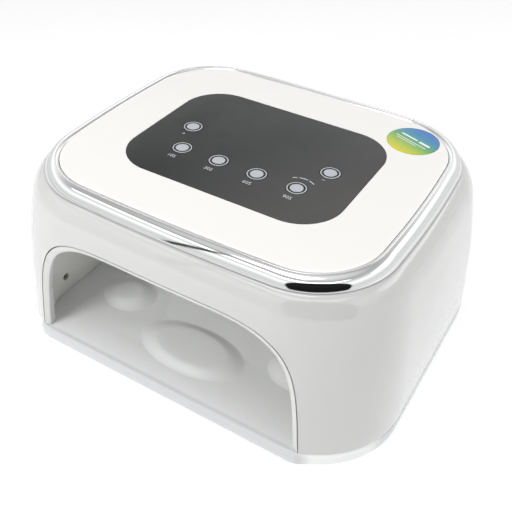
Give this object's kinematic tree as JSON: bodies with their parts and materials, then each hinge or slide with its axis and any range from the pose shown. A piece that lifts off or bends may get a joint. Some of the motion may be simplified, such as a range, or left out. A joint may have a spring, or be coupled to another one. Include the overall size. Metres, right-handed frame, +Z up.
{
  "type": "uv led nail lamp",
  "caption": "Nail-curing lamp: rounded white housing with a hand opening, chrome trim ring and smoked key panel, on a lift-off magnetic base tray.",
  "frame": {"origin": "centre of the footprint, on the surface that the four feet stand on", "axes": "+X to the right of a user facing the hand opening (width), +Y to the rear, so the opening faces -Y, +Z up"},
  "size_m": [0.235, 0.1944, 0.1061],
  "materials": {
    "shell_white": "gloss white moulded ABS",
    "tray_white": "satin-gloss white moulded ABS",
    "liner_white": "satin white reflector plastic",
    "fascia_white": "semi-gloss warm white painted plastic",
    "chrome": "bright chrome-plated plastic",
    "smoked_panel": "smoked grey acrylic with a dark printed edge",
    "key_smoked": "smoked grey with a printed grey disc and ring",
    "badge_print": "printed film with a yellow, green and blue gradient",
    "rubber_grey": "soft grey rubber",
    "board_green": "green circuit board",
    "board_white": "white aluminium-core light board",
    "black_plastic": "black moulded plastic",
    "steel": "plated steel",
    "wire_red": "red insulated wire"
  },
  "bodies": {
    "base": {"base_tray": "tray_white", "foot_1": "rubber_grey", "foot_2": "rubber_grey", "foot_3": "rubber_grey", "foot_4": "rubber_grey", "tray_magnet_1": "steel", "tray_magnet_2": "steel", "tray_magnet_3": "steel", "tray_magnet_4": "steel"},
    "housing": {"outer_shell": "shell_white", "inner_liner": "liner_white", "mouth_rim": "liner_white", "bottom_frame": "liner_white", "deck_plate": "black_plastic", "chrome_ring": "chrome", "top_fascia": "fascia_white", "smoked_window": "smoked_panel", "round_badge": "badge_print", "control_board": "board_green", "display_module": "black_plastic", "power_inlet": "black_plastic", "hand_sensor_left": "black_plastic", "hand_sensor_right": "black_plastic", "switch_10s": "black_plastic", "switch_30s": "black_plastic", "switch_60s": "black_plastic", "switch_90s": "black_plastic", "switch_left": "black_plastic", "switch_right": "black_plastic", "led_board_top": "board_white", "led_board_left": "board_white", "led_board_right": "board_white", "led_board_back": "board_white", "strike_plate_1": "steel", "strike_plate_2": "steel", "strike_plate_3": "steel", "strike_plate_4": "steel", "liner_screw_1": "steel", "liner_screw_2": "steel", "liner_screw_3": "steel", "liner_screw_4": "steel", "liner_screw_5": "steel", "liner_screw_6": "steel", "board_screw_1": "steel", "board_screw_2": "steel", "board_screw_3": "steel", "board_screw_4": "steel", "wire_power": "wire_red", "wire_led_back": "wire_red", "wire_led_left": "wire_red", "wire_led_right": "wire_red", "wire_led_top": "wire_red", "wire_sensor_left": "wire_red", "wire_sensor_right": "wire_red"},
    "press_10s": {"key_10s": "key_smoked"},
    "press_30s": {"key_30s": "key_smoked"},
    "press_60s": {"key_60s": "key_smoked"},
    "press_90s": {"key_90s": "key_smoked"},
    "press_left": {"key_left": "key_smoked"},
    "press_right": {"key_right": "key_smoked"}
  },
  "joints": [
    {"name": "housing_lift", "type": "slide", "parent": "base", "child": "housing", "axis": [0, 0, 1], "range_m": [0, 0.12]},
    {"name": "press_10s_travel", "type": "slide", "parent": "housing", "child": "press_10s", "axis": [0, 0, -1], "range_m": [0, 0.0005], "stiffness_N_per_m": 600},
    {"name": "press_30s_travel", "type": "slide", "parent": "housing", "child": "press_30s", "axis": [0, 0, -1], "range_m": [0, 0.0005], "stiffness_N_per_m": 600},
    {"name": "press_60s_travel", "type": "slide", "parent": "housing", "child": "press_60s", "axis": [0, 0, -1], "range_m": [0, 0.0005], "stiffness_N_per_m": 600},
    {"name": "press_90s_travel", "type": "slide", "parent": "housing", "child": "press_90s", "axis": [0, 0, -1], "range_m": [0, 0.0005], "stiffness_N_per_m": 600},
    {"name": "press_left_travel", "type": "slide", "parent": "housing", "child": "press_left", "axis": [0, 0, -1], "range_m": [0, 0.0005], "stiffness_N_per_m": 600},
    {"name": "press_right_travel", "type": "slide", "parent": "housing", "child": "press_right", "axis": [0, 0, -1], "range_m": [0, 0.0005], "stiffness_N_per_m": 600}
  ]
}
